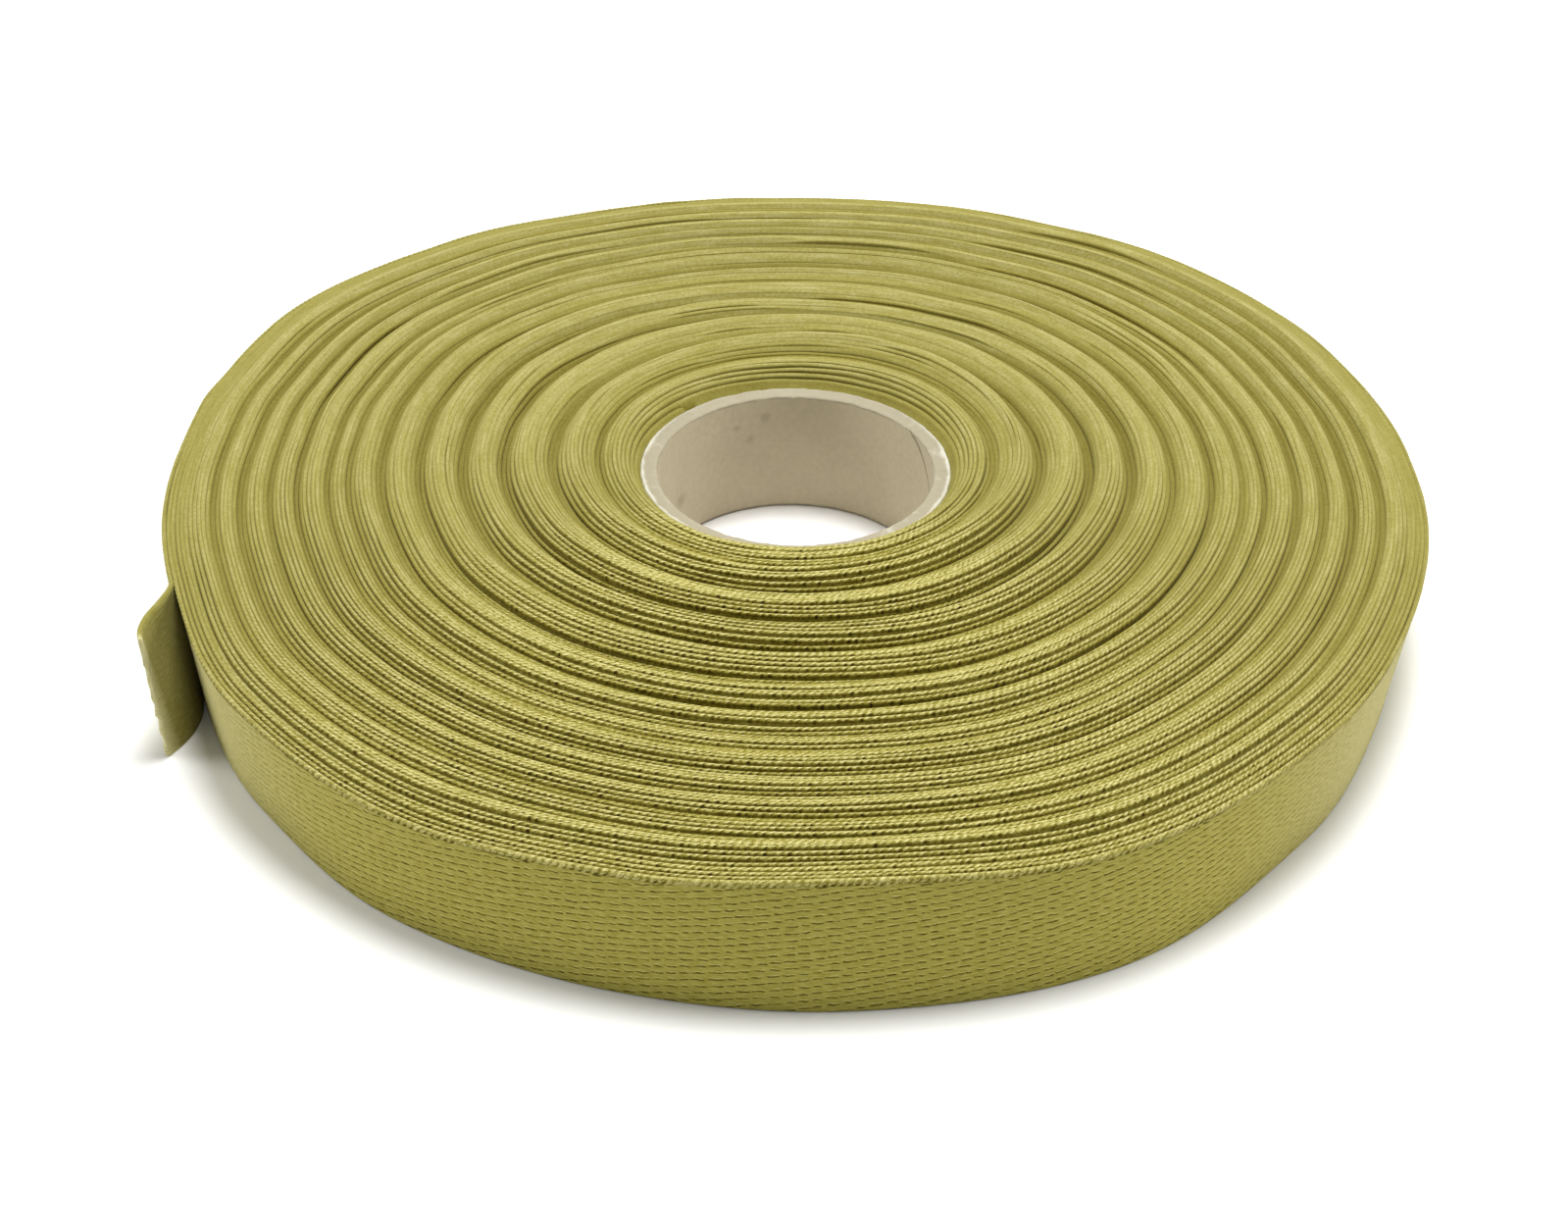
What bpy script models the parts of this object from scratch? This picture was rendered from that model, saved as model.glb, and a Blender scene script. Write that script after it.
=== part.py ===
"""A roll of woven cotton tape, wound by machine on a short cardboard tube and lying on its side.

Metres, +Z up, standing on z = 0 with the middle of its outline on the origin. The tape keeps one width
all through, so a turn that was pushed up while winding stands up on top and leaves the floor below: the
upper face is domed and ringed with ridges, and the underside is hollow in the same measure.
"""

import math
from collections import namedtuple

import bmesh
import bpy
import numpy as np

MM = 0.001

TAPE_WIDTH = 25.0 * MM
TAPE_THICKNESS = 0.8 * MM
ROLL_RADIUS = 115.6 * MM

CORE_RADIUS = 29.0 * MM
CORE_WALL = 3.2 * MM
CORE_LENGTH = 25.5 * MM
CORE_EDGE = 0.5 * MM

CLEARANCE = 0.3 * MM
TURN_STEPS = 64
FOOT_WIDTH = 2.2 * MM
RIM_BLEND = 9.0 * MM

# Angles are seen from above, in degrees from +X. The outermost turn runs round them upwards and ends here.
SPIRAL_START = -164.0
SPIRAL_RAMP = 9.0

LOOSE_THICKNESS = 1.0 * MM
LOOSE_LIFT = 0.2 * MM
LOOSE_ROWS_UP = 6

# How far the turns that lie against the core stand above those at the rim, in mm.
INNERMOST_HEIGHT = 1.2

# One row for each ridge of turns, from the core out: where its crest and the trough after it lie, in mm
# from the axis, and how far their turns stand above the rim, in mm.
Ridge = namedtuple("Ridge", "crest_at crest_height trough_at trough_height")
RIDGES = [
    Ridge(33.4, 4.1, 36.6, 3.2),
    Ridge(41.0, 5.7, 45.3, 3.2),
    Ridge(49.5, 5.3, 54.1, 2.9),
    Ridge(58.5, 4.9, 62.4, 2.6),
    Ridge(66.5, 4.6, 70.4, 2.7),
    Ridge(74.0, 4.1, 77.0, 2.5),
    Ridge(80.1, 3.8, 82.7, 2.2),
    Ridge(85.4, 3.3, 87.7, 1.8),
    Ridge(90.1, 3.0, 92.7, 1.6),
    Ridge(95.2, 2.8, 98.0, 1.4),
    Ridge(100.5, 2.5, 103.2, 1.1),
    Ridge(105.8, 2.3, 108.4, 0.9),
    Ridge(110.9, 1.9, 113.4, 0.2),
]

# Each ridge grows and sinks a little on its way round: by what share of its height, how many times in a
# turn, and by how many radians the next ridges out lag behind, from the core to the rim.
Swell = namedtuple("Swell", "share times lag")
SWELLS = [Swell(0.10, 1, -9.0), Swell(0.06, 3, 14.0)]

# How far the outermost turn lies from a true circle, in mm, at its upper and lower edge, and how far its
# upper edge rises or dips.
Rim = namedtuple("Rim", "angle upper_out lower_out upper_lift")
RIMS = [
    Rim(-180, -1.1, -3.0, 0.0),
    Rim(-160, -1.3, -3.4, 0.0),
    Rim(-140, 1.0, -2.0, -0.5),
    Rim(-122, 1.0, 0.2, -1.8),
    Rim(-102, 0.2, 0.2, -0.3),
    Rim(-84, -0.4, 0.8, 0.7),
    Rim(-64, 0.9, 1.8, -0.8),
    Rim(-40, -0.3, -2.2, 0.0),
    Rim(-22, -1.1, -3.8, 0.2),
    Rim(0, -0.3, -3.2, 0.0),
    Rim(16, 0.6, -2.2, 0.0),
    Rim(32, 2.2, -0.5, -0.2),
    Rim(50, 2.2, 0.0, 0.0),
    Rim(67, -0.4, -0.9, 0.1),
    Rim(92, -2.6, -2.8, 0.0),
    Rim(112, -1.7, -2.2, -0.1),
    Rim(130, 0.7, -0.5, 0.0),
    Rim(150, 2.4, 0.4, 0.1),
    Rim(167, 0.3, -1.6, 0.0),
]

# The free end of the tape, from where it still lies on the roll to its cut edge: the angle, and how far
# its upper and lower edges stand out from the roll there, in mm.
LooseRow = namedtuple("LooseRow", "angle upper_out lower_out")
LOOSE_ROWS = [
    LooseRow(-162.6, 0.3, 0.3),
    LooseRow(-160.6, 0.3, 0.3),
    LooseRow(-158.9, 0.5, 0.35),
    LooseRow(-157.5, 1.5, 0.5),
    LooseRow(-156.1, 3.4, 1.0),
    LooseRow(-154.7, 5.5, 2.0),
    LooseRow(-153.4, 6.8, 3.6),
    LooseRow(-152.3, 7.4, 5.8),
    LooseRow(-151.3, 7.6, 9.0),
]


def eased(at, places, values):
    """Values between the listed places, level at each place and eased along a cosine between them."""
    index = np.clip(np.searchsorted(places, at, side="right") - 1, 0, len(places) - 2)
    share = np.clip((at - places[index]) / (places[index + 1] - places[index]), 0.0, 1.0)
    share = 0.5 - 0.5 * np.cos(math.pi * share)
    return values[index] * (1.0 - share) + values[index + 1] * share


def rim_value(angle, column):
    """One column of the rim's table at any angle in degrees, in metres, closed round the circle."""
    places = np.array([row.angle for row in RIMS] + [RIMS[0].angle + 360.0])
    values = np.array([getattr(row, column) for row in RIMS + RIMS[:1]])
    return eased((angle + 180.0) % 360.0 - 180.0, places, values) * MM


def spiral_growth(angle):
    """The outermost turn ends in a step of one thickness, which it gains evenly on its way round."""
    turned = (angle - SPIRAL_START) % 360.0
    rising = turned / (360.0 - SPIRAL_RAMP)
    falling = (360.0 - turned) / SPIRAL_RAMP
    return TAPE_THICKNESS * np.minimum(rising, falling)


def mean_height(radius):
    """Height of the turns above the rim, in metres, at a distance from the axis."""
    places = [CORE_RADIUS / MM]
    values = [INNERMOST_HEIGHT]
    for ridge in RIDGES:
        places += [ridge.crest_at, ridge.trough_at]
        values += [ridge.crest_height, ridge.trough_height]
    places.append(ROLL_RADIUS / MM)
    values.append(0.0)
    return eased(np.asarray(radius) / MM, np.array(places), np.array(values)) * MM


def share_of_depth(radius):
    """0 at the core and 1 at the outermost turn."""
    return (radius - CORE_RADIUS) / (ROLL_RADIUS - CORE_RADIUS)


def unevenness(radius, angle):
    """Slow change in the height of a ridge on its way round, as a share of its height."""
    turned = np.radians(angle)
    depth = share_of_depth(radius)
    return sum(swell.share * np.sin(swell.times * turned - swell.lag * depth) for swell in SWELLS)


def radius_on_roll(radius, angle, upper_share):
    """Where a turn of a round roll lies in this one. upper_share is 1 at its upper edge and 0 at its lower."""
    upper = rim_value(angle, "upper_out")
    lower = rim_value(angle, "lower_out")
    outward = lower + (upper - lower) * upper_share + spiral_growth(angle)
    return radius + outward * share_of_depth(radius)


def wound_profile():
    """The roll's mean section as a closed loop of (radius, height): out over the ridges, down the wall and
    back in underneath. The upper face has four points a ridge, and the underside has two."""
    stops = [CORE_RADIUS + CLEARANCE]
    for ridge in RIDGES:
        stops += [ridge.crest_at * MM, ridge.trough_at * MM]
    upper = []
    for start, end in zip(stops[:-1], stops[1:]):
        upper += [start, 0.5 * (start + end)]
    upper += [stops[-1], ROLL_RADIUS]

    profile = [(radius, TAPE_WIDTH + float(mean_height(radius))) for radius in upper]
    profile += [(ROLL_RADIUS, 0.0), (ROLL_RADIUS - FOOT_WIDTH, 0.0)]
    profile += [(radius, float(mean_height(radius))) for radius in reversed(stops[:-1])]
    return profile


def new_material(name, color, roughness):
    """A matt, non-metallic material."""
    material = bpy.data.materials.new(name)
    material.use_nodes = True
    shader = material.node_tree.nodes["Principled BSDF"]
    shader.inputs["Base Color"].default_value = (*color, 1.0)
    shader.inputs["Roughness"].default_value = roughness
    shader.inputs["Metallic"].default_value = 0.0
    material.diffuse_color = (*color, 1.0)
    return material


def new_object(name, mesh, material, collection, parent):
    """An object with its material, in the collection and under the parent."""
    part = bpy.data.objects.new(name, mesh)
    part.parent = parent
    collection.objects.link(part)
    mesh.materials.append(material)
    return part


def turned_mesh(name, profile):
    """A closed loop of (radius, height) turned round the Z axis."""
    mesh = bpy.data.meshes.new(name)
    points = [(radius, 0.0, height) for radius, height in profile]
    edges = [(index, (index + 1) % len(points)) for index in range(len(points))]
    mesh.from_pydata(points, edges, [])
    blank = bpy.data.objects.new(name + "_blank", mesh)
    bpy.context.scene.collection.objects.link(blank)

    screw = blank.modifiers.new("Turn", "SCREW")
    screw.axis = "Z"
    screw.angle = 2.0 * math.pi
    screw.steps = TURN_STEPS
    screw.render_steps = TURN_STEPS
    screw.use_merge_vertices = True
    screw.merge_threshold = 0.0001

    graph = bpy.context.evaluated_depsgraph_get()
    turned = bpy.data.meshes.new_from_object(blank.evaluated_get(graph))
    turned.name = name
    bpy.data.objects.remove(blank)
    bpy.data.meshes.remove(mesh)
    return turned


def settle_turns(mesh):
    """Moves each point of the round roll to where the uneven one has it."""
    points = np.empty(len(mesh.vertices) * 3)
    mesh.vertices.foreach_get("co", points)
    points = points.reshape(-1, 3)
    radius = np.hypot(points[:, 0], points[:, 1])
    angle = np.degrees(np.arctan2(points[:, 1], points[:, 0]))
    height = points[:, 2]
    upper = height > 0.5 * TAPE_WIDTH

    raised = height - np.where(upper, TAPE_WIDTH, 0.0)
    height = height + raised * unevenness(radius, angle)
    rim_share = np.clip(1.0 - (ROLL_RADIUS - radius) / RIM_BLEND, 0.0, 1.0)
    height = height + np.where(upper, rim_value(angle, "upper_lift") * rim_share, 0.0)

    settled = radius_on_roll(radius, angle, np.where(upper, 1.0, 0.0))
    points[:, 0] = settled * np.cos(np.radians(angle))
    points[:, 1] = settled * np.sin(np.radians(angle))
    points[:, 2] = height
    mesh.vertices.foreach_set("co", points.ravel())
    mesh.update()


def make_wound_tape(collection, parent, material):
    """All the turns as one ring, with the ridges on top and the same hollows underneath."""
    mesh = turned_mesh("wound_tape", wound_profile())
    settle_turns(mesh)
    mesh.shade_smooth()
    mesh.set_sharp_from_angle(angle=math.radians(50.0))
    return new_object("wound_tape", mesh, material, collection, parent)


def make_core_tube(collection, parent, material):
    """The cardboard tube, a thick ring with its edges slightly worn round."""
    outer = CORE_RADIUS
    inner = CORE_RADIUS - CORE_WALL
    edge = CORE_EDGE
    top = CORE_LENGTH
    profile = [
        (outer - edge, top),
        (outer, top - edge),
        (outer, edge),
        (outer - edge, 0.0),
        (inner + edge, 0.0),
        (inner, edge),
        (inner, top - edge),
        (inner + edge, top),
    ]
    mesh = turned_mesh("core_tube", profile)
    mesh.shade_smooth()
    mesh.set_sharp_from_angle(angle=math.radians(30.0))
    return new_object("core_tube", mesh, material, collection, parent)


def make_loose_end(collection, parent, material):
    """The end of the outermost turn: a sheet that lies on the roll, lets go and curls away from it."""
    sheet = bmesh.new()
    rows = []
    for row in LOOSE_ROWS:
        points = []
        for step in range(LOOSE_ROWS_UP + 1):
            share = step / LOOSE_ROWS_UP
            wall = float(radius_on_roll(ROLL_RADIUS, row.angle, share))
            radius = wall + (row.lower_out + (row.upper_out - row.lower_out) * share) * MM
            turned = math.radians(row.angle)
            place = (radius * math.cos(turned), radius * math.sin(turned), LOOSE_LIFT + TAPE_WIDTH * share)
            points.append(sheet.verts.new(place))
        rows.append(points)
    for before, after in zip(rows[:-1], rows[1:]):
        for step in range(LOOSE_ROWS_UP):
            sheet.faces.new((before[step], after[step], after[step + 1], before[step + 1]))
    mesh = bpy.data.meshes.new("loose_end")
    sheet.to_mesh(mesh)
    sheet.free()
    mesh.shade_smooth()

    part = new_object("loose_end", mesh, material, collection, parent)
    solid = part.modifiers.new("Thickness", "SOLIDIFY")
    solid.thickness = LOOSE_THICKNESS
    solid.offset = 1.0
    solid.use_even_offset = True
    return part


def centre_over_origin(holder, parts):
    """Puts the middle of the parts' common outline over the origin."""
    bpy.context.view_layer.update()
    graph = bpy.context.evaluated_depsgraph_get()
    corners = []
    for part in parts:
        for vertex in part.evaluated_get(graph).data.vertices:
            corners.append(part.matrix_world @ vertex.co)
    low_x, high_x = min(c.x for c in corners), max(c.x for c in corners)
    low_y, high_y = min(c.y for c in corners), max(c.y for c in corners)
    holder.location = (-0.5 * (low_x + high_x), -0.5 * (low_y + high_y), 0.0)


def main():
    for old in list(bpy.data.objects):
        bpy.data.objects.remove(old)

    collection = bpy.data.collections.new("tape_roll")
    bpy.context.scene.collection.children.link(collection)
    holder = bpy.data.objects.new("roll_axis", None)
    collection.objects.link(holder)

    cloth = new_material("olive_cotton_tape", (0.36, 0.33, 0.085), 0.9)
    board = new_material("grey_brown_board", (0.42, 0.33, 0.21), 0.85)

    parts = [
        make_wound_tape(collection, holder, cloth),
        make_core_tube(collection, holder, board),
        make_loose_end(collection, holder, cloth),
    ]
    centre_over_origin(holder, parts)


main()
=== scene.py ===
import math

import bmesh
import bpy
import numpy as np
from mathutils import Matrix, Vector


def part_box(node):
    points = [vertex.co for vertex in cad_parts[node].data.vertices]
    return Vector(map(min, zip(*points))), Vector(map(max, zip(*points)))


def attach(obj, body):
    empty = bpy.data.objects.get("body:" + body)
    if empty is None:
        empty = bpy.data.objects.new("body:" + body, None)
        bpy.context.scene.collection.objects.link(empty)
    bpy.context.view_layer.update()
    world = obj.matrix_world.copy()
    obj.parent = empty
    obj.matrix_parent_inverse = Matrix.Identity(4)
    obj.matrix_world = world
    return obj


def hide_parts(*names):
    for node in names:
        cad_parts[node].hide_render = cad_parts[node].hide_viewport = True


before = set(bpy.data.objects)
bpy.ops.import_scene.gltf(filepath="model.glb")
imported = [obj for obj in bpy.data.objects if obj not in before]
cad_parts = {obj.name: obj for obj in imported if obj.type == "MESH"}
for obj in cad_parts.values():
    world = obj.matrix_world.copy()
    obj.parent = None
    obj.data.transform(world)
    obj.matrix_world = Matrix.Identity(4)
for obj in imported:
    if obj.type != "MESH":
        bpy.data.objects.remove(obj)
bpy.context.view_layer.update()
mm = 0.001

# The tube's node gives the axis that the tape is wound on. The other sizes are those of the solids.
tubeLow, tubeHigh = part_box("core_tube")
axisX = 0.5 * (tubeLow.x + tubeHigh.x)
axisY = 0.5 * (tubeLow.y + tubeHigh.y)

roll = {
    "tapeWidth": 25.0,
    "turnPitch": 0.7977,
    "coreRadius": 29.0,
    "coreGap": 0.3,
    "outerRadius": 115.6,
    "firstAngle": 134.0,    # where the tape starts on the tube, degrees from +X seen from above
    "lastAngle": -159.0,    # where its other end lets go of the roll
    "wholeTurns": 109,      # turns between the two, without the part of a turn that is left
    "innerLean": 0.05,      # how far the first turn's edge leans over the tube
    "tuck": 0.15,           # height of that edge over the tape's width at the most
}
roll["turns"] = roll["wholeTurns"] + (roll["lastAngle"] + 360 - roll["firstAngle"]) / 360

# Heights of the turns' upper edges over those at the rim, in mm, outwards along a radius. Outwards each
# ridge rises slowly and falls off faster.
profile = np.array([
    (29.0, 0.9), (29.8, 1.5), (30.6, 2.3), (31.4, 3.1), (32.1, 3.7), (33.4, 4.2), (34.3, 4.1), (35.5, 3.7),
    (36.4, 2.9), (37.1, 3.2), (38.0, 4.2), (39.2, 4.6), (40.2, 5.3), (41.2, 5.8), (42.3, 5.6), (43.3, 5.0),
    (44.5, 3.7), (45.1, 2.9), (46.2, 3.8), (47.4, 4.4), (48.4, 4.8), (49.4, 5.3), (51.3, 5.2), (52.2, 4.8),
    (53.1, 4.1), (54.1, 2.8), (54.8, 2.7), (55.8, 3.9), (57.0, 4.5), (58.3, 5.0), (59.2, 4.9), (60.2, 4.3),
    (61.1, 3.3), (62.1, 2.3), (62.9, 2.7), (64.0, 3.9), (65.1, 4.4), (66.8, 4.7), (67.8, 4.3), (68.6, 3.7),
    (69.4, 2.8), (70.2, 2.4), (71.2, 3.1), (72.4, 3.5), (73.5, 4.1), (74.4, 4.1), (75.4, 3.6), (76.3, 2.8),
    (77.1, 2.1), (78.0, 2.8), (79.2, 3.6), (80.4, 4.0), (81.4, 3.6), (82.2, 2.8), (83.0, 2.0), (84.0, 2.6),
    (85.2, 3.1), (86.1, 2.4), (86.9, 1.5), (87.7, 2.3), (88.6, 3.1), (90.2, 3.1), (91.3, 2.7), (92.1, 1.9),
    (92.8, 1.3), (93.7, 2.4), (94.6, 3.0), (95.9, 2.7), (96.8, 1.9), (97.6, 1.0), (98.5, 1.9), (99.6, 2.8),
    (100.5, 2.6), (101.4, 1.8), (102.3, 1.0), (103.3, 0.6), (104.2, 1.7), (105.3, 2.5), (106.2, 2.0),
    (107.2, 1.2), (108.2, 0.8), (109.1, 1.8), (110.2, 2.2), (111.8, 1.5), (112.9, 1.0), (113.6, 0.6),
    (114.4, 0.3), (115.0, 0.1), (115.6, 0.0),
])

# The rim, in mm: angle, how far its upper and lower edge lie outside a circle, how far the upper one rises.
rims = np.array([
    (-180, -1.1, -3.0, 0.0),
    (-160, -1.3, -3.4, 0.0),
    (-140, 1.0, -2.0, -0.5),
    (-122, 1.0, 0.2, -1.8),
    (-102, 0.2, 0.2, -0.3),
    (-84, -0.4, 0.8, 0.7),
    (-64, 0.9, 1.8, -0.8),
    (-40, -0.3, -2.2, 0.0),
    (-22, -1.1, -3.8, 0.2),
    (0, -0.3, -3.2, 0.0),
    (16, 0.6, -2.2, 0.0),
    (32, 2.2, -0.5, -0.2),
    (50, 2.2, 0.0, 0.0),
    (67, -0.4, -0.9, 0.1),
    (92, -2.6, -2.8, 0.0),
    (112, -1.7, -2.2, -0.1),
    (130, 0.7, -0.5, 0.0),
    (150, 2.4, 0.4, 0.1),
    (167, 0.3, -1.6, 0.0),
], dtype=[("angle", float), ("upperOut", float), ("lowerOut", float), ("upperLift", float)])

# Each ridge swells on its way round: share of its height, times a turn, lag in radians from core to rim.
swells = ((0.10, 1, -9.0), (0.06, 3, 14.0))


# A cosine eased between the listed places, level at each of them.
def eased(at, places, values):
    index = np.clip(np.searchsorted(places, at, side="right") - 1, 0, len(places) - 2)
    share = np.clip((at - places[index]) / (places[index + 1] - places[index]), 0, 1)
    share = 0.5 - 0.5 * np.cos(math.pi * share)
    return values[index] * (1 - share) + values[index + 1] * share


# One column of the rim's table at any angle, closed round the circle.
def rimValue(angle, column):
    places = np.append(rims["angle"], rims["angle"][0] + 360)
    values = np.append(rims[column], rims[column][0])
    return eased((np.asarray(angle) + 180) % 360 - 180, places, values)


# Ridges and furrows of the upper side. Running means are taken over a number of steps.
relief = {
    "step": 0.1,            # mm along a radius between two heights
    "reach": (15.0, 131.0),
    "depth": 1.38,          # times the listed height of the ridges from deepFrom to deepTo
    "deepFrom": 37,
    "deepTo": 112,
    "deepenedOver": 101,    # steps of the running mean that they are deepened about
    "roundedOver": 5,       # steps of the one that rounds the profile's straight lines
    "levelOver": 61,        # steps of the one that crests and furrows are measured from
    "frontRidges": 0.66,    # share of the ridges' height on the -Y side
    "backRidges": 0.98,     # and on the +Y side
    "tilt": 0.8,            # mm that the turns by the tube stand higher on the -Y side
    "tiltOver": 4.0,
    "calmShift": 0.75,      # these two as calm uses them
    "calmOver": 1.30,
    "rimOver": 9.0,         # mm inside the rim where its rise has faded
}


def runningMean(values, steps):
    return np.convolve(values, np.full(steps, 1 / steps), "same")


# The profile with its ridges made deeper about a running mean, and its straight lines rounded by another.
profileSteps = np.arange(*relief["reach"], relief["step"])
profileHeights = np.interp(profileSteps, profile[:, 0], profile[:, 1])
profileMean = runningMean(profileHeights, relief["deepenedOver"])
inDeep = (profileSteps > relief["deepFrom"]) & (profileSteps < relief["deepTo"])
profileHeights = profileMean + (profileHeights - profileMean) * np.where(inDeep, relief["depth"], 1.0)
profileHeights = runningMean(profileHeights, relief["roundedOver"])
profileMean = runningMean(profileHeights, relief["levelOver"])
profileSlope = np.gradient(profileHeights, relief["step"])


# A share from 0 to 1, eased towards both ends.
def easedShare(share):
    return share * share * (3 - 2 * share)


# 1 on the roll's +Y side, where it is pressed smoother, and 0 on the other one:
# share = (sine of the angle + shift) / over, eased.
def calm(angle):
    share = (np.sin(np.radians(angle)) + relief["calmShift"]) / relief["calmOver"]
    return easedShare(np.clip(share, 0, 1))


# Height of the turns over those at the rim: the profile, its ridges lowered about their running mean by the
# side of the roll, times one plus the swells, each a sine of the angle that lags with the distance from the
# tube, less a tilt beside the tube.
def turnHeight(radius, angle):
    turned = np.radians(angle)
    depth = shareOfDepth(radius)
    uneven = sum(share * np.sin(times * turned - lag * depth) for share, times, lag in swells)
    mean = np.interp(radius, profileSteps, profileMean)
    share = relief["frontRidges"] + (relief["backRidges"] - relief["frontRidges"]) * calm(angle)
    ridged = mean + (np.interp(radius, profileSteps, profileHeights) - mean) * share
    nearTube = np.clip(1 - (radius - roll["coreRadius"]) / relief["tiltOver"], 0, 1)
    return ridged * (1 + uneven) - relief["tilt"] * np.sin(turned) * nearTube


# How far a turn lies under the running mean in a furrow between two ridges, or over it on a crest, in mm.
def furrowDepth(radius):
    return np.interp(radius, profileSteps, np.clip(profileMean - profileHeights, 0, None))


def crestHeight(radius):
    return np.interp(radius, profileSteps, np.clip(profileHeights - profileMean, 0, None))


# 0 at the tube and 1 at the outermost turn.
def shareOfDepth(radius):
    return (radius - roll["coreRadius"]) / (roll["outerRadius"] - roll["coreRadius"])


# A round roll's radius plus the rim's departure at that angle and height, in proportion to the depth.
def radiusOnRoll(radius, angle, upperShare):
    upper = rimValue(angle, "upperOut")
    lower = rimValue(angle, "lowerOut")
    return radius + (lower + (upper - lower) * upperShare) * shareOfDepth(radius)


# Random values on evenly spaced knots with a smooth step between them.
def softNoise(at, knotsPerUnit, seed):
    scaled = np.asarray(at) * knotsPerUnit
    first = np.floor(scaled).astype(int)
    lowest = int(min(first.min(), 0))
    knots = np.random.default_rng(seed).uniform(-1, 1, int(first.max()) + 3 - lowest)
    share = easedShare(scaled - np.floor(scaled))
    return knots[first - lowest] * (1 - share) + knots[first - lowest + 1] * share


# The same as a wave of a size, knots a turn and seed, which the dictionaries list in that order.
def waveAt(turn, wave):
    size, knots, seed = wave
    return size * softNoise(turn, knots, seed)


jitter = {
    "height": (0.31, 2.3, 11),      # mm that a turn stands over or under its neighbours
    "fine": (0.09, 41, 12),         # quick waves along it
    "wave": (0.15, 11, 18),         # slower ones
    "across": (0.10, 9, 13),        # mm to either side
    "levelBefore": 0.7,             # turns from the end where the turns are most level
    "levelOver": 1.5,
    "leastLevel": 0.15,
    "calmShare": 0.85,              # share of it that is pressed out on the calm side,
    "calmFrom": 36,                 # away from the tube
    "calmOver": 10,
    "leastCalm": 0.2,
}


# A number of turns, kept within the tape's.
def onTape(turn):
    return np.clip(turn, 0, roll["turns"])


# Radius of a round roll at a number of turns: place is 0 at the tape's inner face and 1 at its outer one.
def turnRadius(turn, place=0.5):
    return roll["coreRadius"] + roll["coreGap"] + roll["turnPitch"] * (turn + place)


# The tape at a number of turns from its inner end: angle, centre radius, height of its upper edge.
def tapeAt(turn):
    angle = roll["firstAngle"] + 360 * turn
    radius = turnRadius(turn)
    inside = onTape(turn)
    toEnd = (roll["turns"] - jitter["levelBefore"] - inside) / jitter["levelOver"]
    settle = np.clip(toEnd, jitter["leastLevel"], 1)
    away = np.clip((radius - jitter["calmFrom"]) / jitter["calmOver"], jitter["leastCalm"], 1)
    settle = settle * (1 - jitter["calmShare"] * calm(angle) * away)
    wander = waveAt(inside, jitter["height"]) + waveAt(inside, jitter["fine"])
    wander = wander + waveAt(inside, jitter["wave"])
    rimShare = np.clip(1 - (roll["outerRadius"] - radius) / relief["rimOver"], 0, 1)
    lift = turnHeight(radius, angle) + rimValue(angle, "upperLift") * rimShare + wander * settle
    return angle, radius, lift


# Length of tape wound up to a turn, in mm: the circle of the mean radius times the turns.
def lengthAt(turn):
    return 2 * math.pi * (turnRadius(0) * turn + 0.5 * roll["turnPitch"] * turn * turn)


# Cylinder coordinates about the roll's axis, in mm, to points in metres.
def placed(radius, angle, height):
    turned = np.radians(angle)
    x = axisX + radius * np.cos(turned) * mm
    y = axisY + radius * np.sin(turned) * mm
    return np.stack(np.broadcast_arrays(x, y, height * mm), axis=-1)


# Two numbers for each point of a grid, as its UV in mm.
def uvGrid(along, across):
    return np.stack(np.broadcast_arrays(along, across), axis=-1)


# A grid of points (rows, columns, 3) as a mesh of quads, each row and column joined to the next one.
# uv is (rows, columns, 2) in mm, and values are named numbers for each point.
def gridMesh(name, material, points, uv, values=None, closeRows=False, closeColumns=False, flip=False):
    rows, columns = points.shape[:2]
    index = np.arange(rows * columns).reshape(rows, columns)
    if closeRows:
        index = np.vstack([index, index[:1]])
    if closeColumns:
        index = np.hstack([index, index[:, :1]])
    corners = [index[:-1, :-1], index[:-1, 1:], index[1:, 1:], index[1:, :-1]]
    quads = np.stack(corners, axis=-1).reshape(-1, 4)
    if flip:
        quads = quads[:, ::-1]
    mesh = bpy.data.meshes.new(name)
    mesh.vertices.add(rows * columns)
    mesh.vertices.foreach_set("co", points.reshape(-1).astype(np.float32))
    mesh.loops.add(quads.size)
    mesh.loops.foreach_set("vertex_index", quads.reshape(-1).astype(np.int32))
    mesh.polygons.add(len(quads))
    mesh.polygons.foreach_set("loop_start", np.arange(0, quads.size, 4, dtype=np.int32))
    mesh.update(calc_edges=True)
    layer = mesh.uv_layers.new(name="tape")
    layer.data.foreach_set("uv", uv.reshape(-1, 2)[quads.reshape(-1)].reshape(-1).astype(np.float32))
    for key, value in (values or {}).items():
        attribute = mesh.attributes.new(key, "FLOAT", "POINT")
        attribute.data.foreach_set("value", value.reshape(-1).astype(np.float32))
    mesh.validate()
    mesh.shade_smooth()
    mesh.materials.append(material)
    piece = bpy.data.objects.new(name, mesh)
    bpy.context.scene.collection.objects.link(piece)
    return piece


# Materials: short helpers for node trees.
plainShine = 0.12       # cloth, board and floor hardly shine


def startMaterial(name, roughness, sheen=0.0):
    material = bpy.data.materials.new(name)
    material.use_nodes = True
    tree = material.node_tree
    shader = tree.nodes["Principled BSDF"]
    shader.inputs["Roughness"].default_value = roughness
    shader.inputs["Specular IOR Level"].default_value = plainShine
    shader.inputs["Sheen Weight"].default_value = sheen
    return material, tree, shader


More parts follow.
